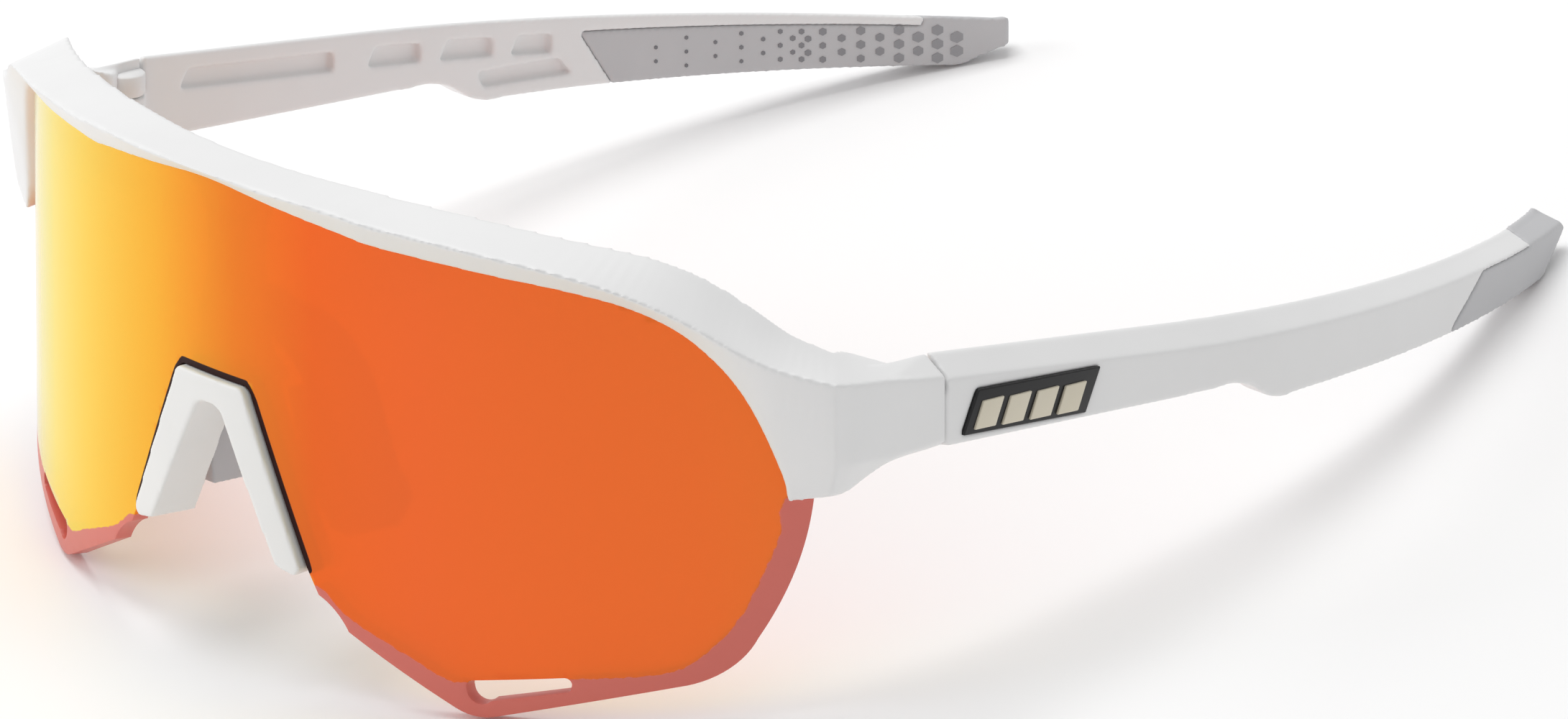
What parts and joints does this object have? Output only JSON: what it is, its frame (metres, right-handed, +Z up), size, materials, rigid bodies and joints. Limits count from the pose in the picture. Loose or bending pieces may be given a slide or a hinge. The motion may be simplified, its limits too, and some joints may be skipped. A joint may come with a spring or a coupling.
{
  "type": "wraparound sport sunglasses",
  "caption": "Wraparound sport sunglasses: one-piece cylindrical mirror shield in a white brow frame, snap-in nose piece and folding temples with rubber tips.",
  "frame": {"origin": "centre of the footprint, on the surface that the shield and the temple tips stand on", "axes": "+X towards the wearer's left, +Y back along the temples, +Z up"},
  "size_m": [0.1502, 0.1586, 0.0587],
  "materials": {
    "mirror_lens": "mirror-coated polycarbonate, orange, with an uncoated lower rim",
    "frame_white": "matte white moulded nylon",
    "temple_white": "matte white moulded nylon",
    "soft_rubber": "light grey moulded rubber",
    "tip_rubber": "light grey moulded rubber with a raised hexagon texture",
    "screw_steel": "turned steel",
    "insert_brass": "turned brass",
    "bush_nylon": "moulded acetal",
    "badge_black": "moulded black plastic",
    "badge_cream": "moulded cream plastic"
  },
  "bodies": {
    "frame": {"frame_front": "frame_white", "lens_shield": "mirror_lens", "nose_cover": "frame_white", "nose_saddle": "soft_rubber", "nose_pad_left": "soft_rubber", "nose_pad_right": "soft_rubber", "hinge_screw_left": "screw_steel", "hinge_screw_right": "screw_steel", "hinge_insert_left": "insert_brass", "hinge_insert_right": "insert_brass"},
    "temple_left": {"temple_left": "temple_white", "temple_tip_left": "tip_rubber", "hinge_bush_left": "bush_nylon", "badge_backing_left": "badge_black", "badge_bars_left": "badge_cream"},
    "temple_right": {"temple_right": "temple_white", "temple_tip_right": "tip_rubber", "hinge_bush_right": "bush_nylon", "badge_backing_right": "badge_black", "badge_bars_right": "badge_cream"}
  },
  "joints": [
    {"name": "temple_left_fold", "type": "hinge", "parent": "frame", "child": "temple_left", "pos_m": [0.0705, -0.03226, 0.0312], "axis": [0, 0.1834, 0.983], "range_deg": [0, 90]},
    {"name": "temple_right_fold", "type": "hinge", "parent": "frame", "child": "temple_right", "pos_m": [-0.0705, -0.03226, 0.0312], "axis": [0, 0.1834, 0.983], "range_deg": [-74, 0]}
  ]
}
